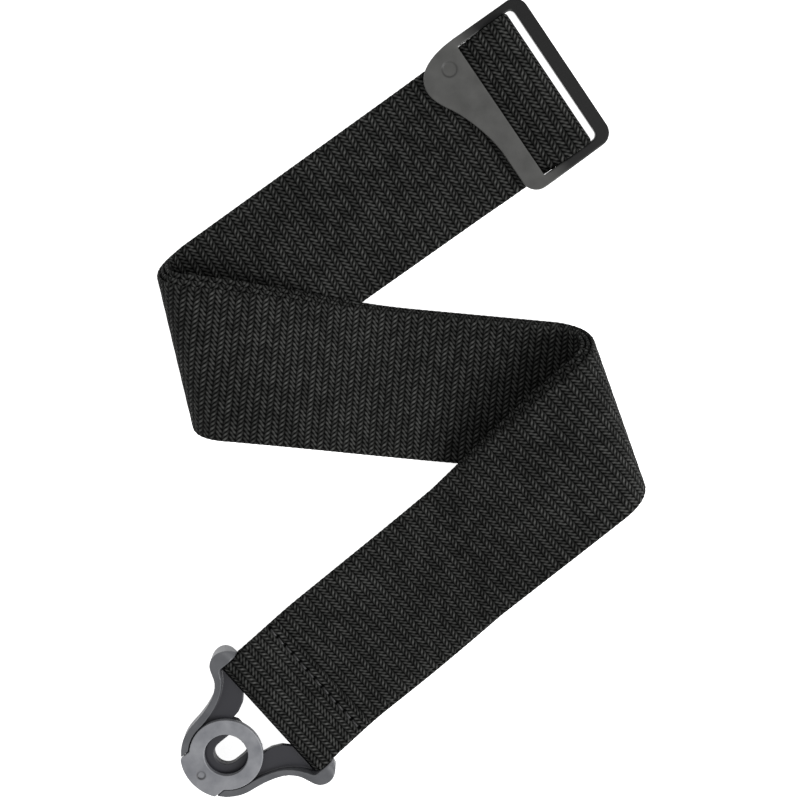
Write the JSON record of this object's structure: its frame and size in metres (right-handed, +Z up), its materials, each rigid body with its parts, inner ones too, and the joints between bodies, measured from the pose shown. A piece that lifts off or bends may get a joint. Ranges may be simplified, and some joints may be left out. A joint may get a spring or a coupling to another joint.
{
  "type": "guitar strap",
  "caption": "Wide webbing guitar strap folded flat in a zigzag, with a slide adjuster and a strap-button lock at each end.",
  "frame": {"origin": "on the resting surface, under the middle of the folded strap's bounding box", "axes": "+Z up from the surface it lies on; +Y from the button locks towards the slide adjuster; +X to the right of that"},
  "size_m": [0.1652, 0.2786, 0.0223],
  "materials": {
    "webbing": "matte ribbed polypropylene weave",
    "lock_plastic": "satin moulded acetal",
    "dark_plastic": "satin moulded acetal",
    "adjuster_plastic": "satin moulded acetal",
    "spring_steel": "drawn wire"
  },
  "bodies": {
    "strap": {"webbing": "webbing", "slide_adjuster": "adjuster_plastic"},
    "upper_lock": {"upper_lock_frame": "lock_plastic", "upper_lock_left_spring": "spring_steel", "upper_lock_right_spring": "spring_steel"},
    "upper_ring": {"upper_lock_slide_ring": "lock_plastic", "upper_lock_keeper_plate": "dark_plastic"},
    "lower_lock": {"lower_lock_frame": "lock_plastic", "lower_lock_left_spring": "spring_steel", "lower_lock_right_spring": "spring_steel"},
    "lower_ring": {"lower_lock_slide_ring": "lock_plastic", "lower_lock_keeper_plate": "dark_plastic"}
  },
  "joints": [
    {"name": "upper_lock_swing", "type": "hinge", "parent": "strap", "child": "upper_lock", "pos_m": [-0.04458, -0.10452, 0.0119], "axis": [-0.6455, 0.7638, 0], "range_deg": [0, 60]},
    {"name": "upper_ring_slide", "type": "slide", "parent": "upper_lock", "child": "upper_ring", "axis": [0.7638, 0.6455, 0], "range_m": [0, 0.005], "stiffness_N_per_m": 400, "springref_m": -0.004, "deforming": ["upper_lock_left_spring", "upper_lock_right_spring"]},
    {"name": "lower_lock_swing", "type": "hinge", "parent": "strap", "child": "lower_lock", "pos_m": [-0.04558, -0.10802, 0.00385], "axis": [-0.6455, 0.7638, 0], "range_deg": [-45, 0]},
    {"name": "lower_ring_slide", "type": "slide", "parent": "lower_lock", "child": "lower_ring", "axis": [0.7638, 0.6455, 0], "range_m": [0, 0.005], "stiffness_N_per_m": 400, "springref_m": -0.004, "deforming": ["lower_lock_left_spring", "lower_lock_right_spring"]}
  ]
}
